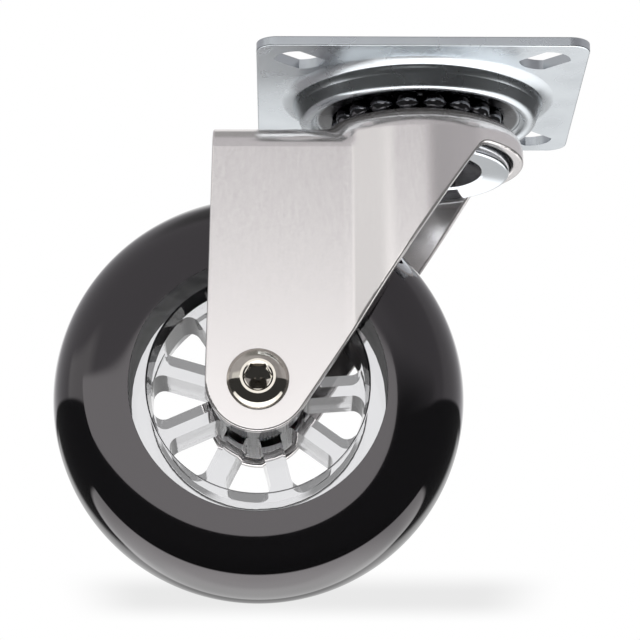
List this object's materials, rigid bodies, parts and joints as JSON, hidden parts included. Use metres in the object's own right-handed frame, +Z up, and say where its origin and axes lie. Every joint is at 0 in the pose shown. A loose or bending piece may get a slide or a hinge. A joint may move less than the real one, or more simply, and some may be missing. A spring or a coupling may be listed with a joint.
{
  "type": "furniture castor",
  "caption": "Swivel furniture castor with a square slotted mounting plate, a ball-race swivel head, a pressed steel fork and a spoked clear wheel with a glossy black tyre.",
  "frame": {"origin": "centre of the mounting plate's flat top face, on the swivel axis", "axes": "+Z up, out of the plate towards the furniture; the wheel trails towards -X; the axle lies along Y with the bolt's head at -Y"},
  "size_m": [0.097, 0.06, 0.097],
  "materials": {
    "zinc_plate": "bright zinc plated",
    "rivet_steel": "plain riveted",
    "ball_steel": "polished",
    "satin_nickel": "satin nickel plated",
    "bright_nickel": "bright nickel plated",
    "white_nylon": "matt",
    "spacer_steel": "turned",
    "grey_nylon": "matt",
    "clear_plastic": "clear, polished mould",
    "black_tyre": "glossy cast polyurethane"
  },
  "bodies": {
    "mounting": {"top_plate": "zinc_plate", "kingpin": "rivet_steel", "lower_cup": "zinc_plate", "upper_ball_01": "ball_steel", "upper_ball_02": "ball_steel", "upper_ball_03": "ball_steel", "upper_ball_04": "ball_steel", "upper_ball_05": "ball_steel", "upper_ball_06": "ball_steel", "upper_ball_07": "ball_steel", "upper_ball_08": "ball_steel", "upper_ball_09": "ball_steel", "upper_ball_10": "ball_steel", "upper_ball_11": "ball_steel", "upper_ball_12": "ball_steel", "upper_ball_13": "ball_steel", "upper_ball_14": "ball_steel", "upper_ball_15": "ball_steel", "upper_ball_16": "ball_steel", "upper_ball_17": "ball_steel", "upper_ball_18": "ball_steel", "lower_ball_01": "ball_steel", "lower_ball_02": "ball_steel", "lower_ball_03": "ball_steel", "lower_ball_04": "ball_steel", "lower_ball_05": "ball_steel", "lower_ball_06": "ball_steel", "lower_ball_07": "ball_steel", "lower_ball_08": "ball_steel", "lower_ball_09": "ball_steel", "lower_ball_10": "ball_steel", "lower_ball_11": "ball_steel", "lower_ball_12": "ball_steel", "lower_ball_13": "ball_steel", "lower_ball_14": "ball_steel", "lower_ball_15": "ball_steel", "lower_ball_16": "ball_steel", "lower_ball_17": "ball_steel", "lower_ball_18": "ball_steel", "lower_ball_19": "ball_steel", "lower_ball_20": "ball_steel"},
    "swivel_fork": {"fork": "satin_nickel", "axle_bolt": "bright_nickel", "axle_nut": "bright_nickel", "nut_insert": "white_nylon", "axle_spacer": "spacer_steel"},
    "wheel": {"wheel_centre": "clear_plastic", "near_bush": "grey_nylon", "far_bush": "grey_nylon", "tyre": "black_tyre"}
  },
  "joints": [
    {"name": "swivel", "type": "hinge", "parent": "mounting", "child": "swivel_fork", "pos_m": [0, 0, 0], "axis": [0, 0, 1], "continuous": true},
    {"name": "wheel_spin", "type": "hinge", "parent": "swivel_fork", "child": "wheel", "pos_m": [-0.0295, 0, -0.0595], "axis": [0, 1, 0], "continuous": true}
  ]
}
